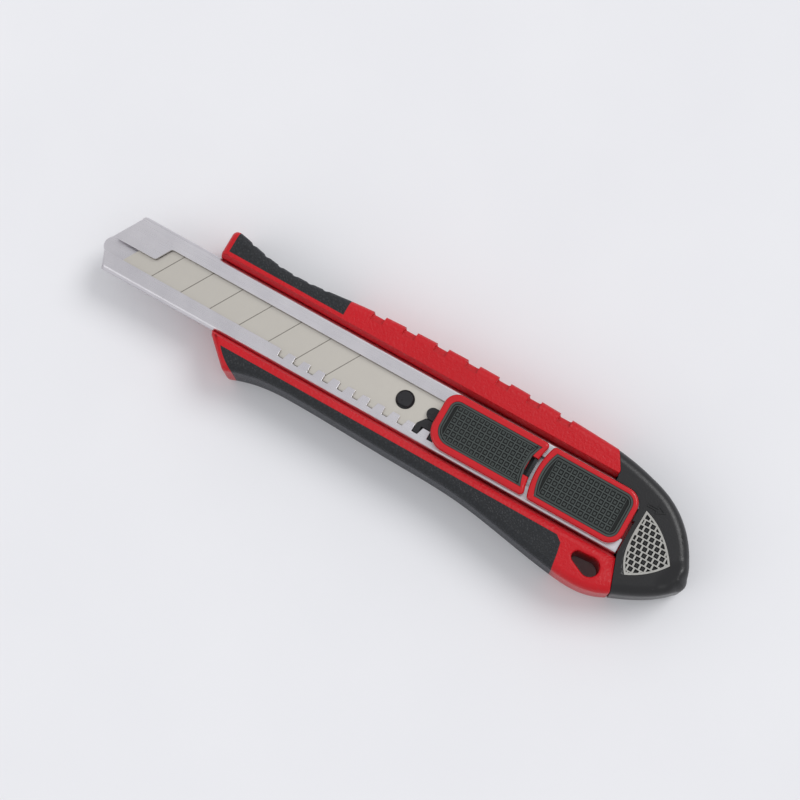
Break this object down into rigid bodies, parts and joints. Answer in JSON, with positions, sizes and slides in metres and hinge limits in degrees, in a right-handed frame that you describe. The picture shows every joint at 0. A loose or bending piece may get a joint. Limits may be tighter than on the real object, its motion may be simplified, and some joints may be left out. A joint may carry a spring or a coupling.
{
  "type": "snap-off utility knife",
  "caption": "Snap-off blade knife with a steel blade channel, notched thumb slider lock, two-material grip, spare blade magazine and pull-off end cap.",
  "frame": {"origin": "on the flat back, on the blade channel's centreline, half way along the knife", "axes": "+X towards the blade's tip, +Y towards the cutting edge and the finger grip, +Z out of the slider side"},
  "size_m": [0.1977, 0.0424, 0.0189],
  "materials": {
    "red_abs": "satin, fine spark texture",
    "black_tpe": "matte, leathery grain",
    "grey_tpe": "matte",
    "black_abs": "satin",
    "light_grey_abs": "satin",
    "grey_acetal": "satin",
    "stainless_sheet": "rolled and brushed",
    "blade_steel": "ground",
    "spring_steel": "bright"
  },
  "bodies": {
    "handle": {"handle_body": "red_abs", "upper_grip": "black_tpe", "lower_grip": "black_tpe", "blade_channel": "stainless_sheet", "magazine_spring": "spring_steel", "magazine_follower": "black_abs", "spare_blade_1": "blade_steel", "spare_blade_2": "blade_steel", "spare_blade_3": "blade_steel"},
    "carrier": {"blade_carrier": "grey_acetal", "snap_blade": "blade_steel", "lock_pawl": "grey_acetal", "pawl_spring": "spring_steel", "front_slider_spring": "spring_steel", "rear_slider_spring": "spring_steel"},
    "slider": {"thumb_slider": "red_abs", "thumb_pad": "grey_tpe"},
    "cap": {"end_cap": "black_abs", "cap_grid": "light_grey_abs", "rear_block": "red_abs", "rear_pad": "grey_tpe"}
  },
  "joints": [
    {"name": "blade_advance", "type": "slide", "parent": "handle", "child": "carrier", "axis": [1, 0, 0], "range_m": [0, 0.045], "deforming": ["lock_pawl", "pawl_spring"]},
    {"name": "lock_release", "type": "slide", "parent": "carrier", "child": "slider", "axis": [1, 0, 0], "range_m": [-0.0008, 0.0008], "stiffness_N_per_m": 600, "deforming": ["front_slider_spring", "rear_slider_spring"]},
    {"name": "cap_pull", "type": "slide", "parent": "handle", "child": "cap", "axis": [-1, 0, 0], "range_m": [0, 0.036]}
  ]
}
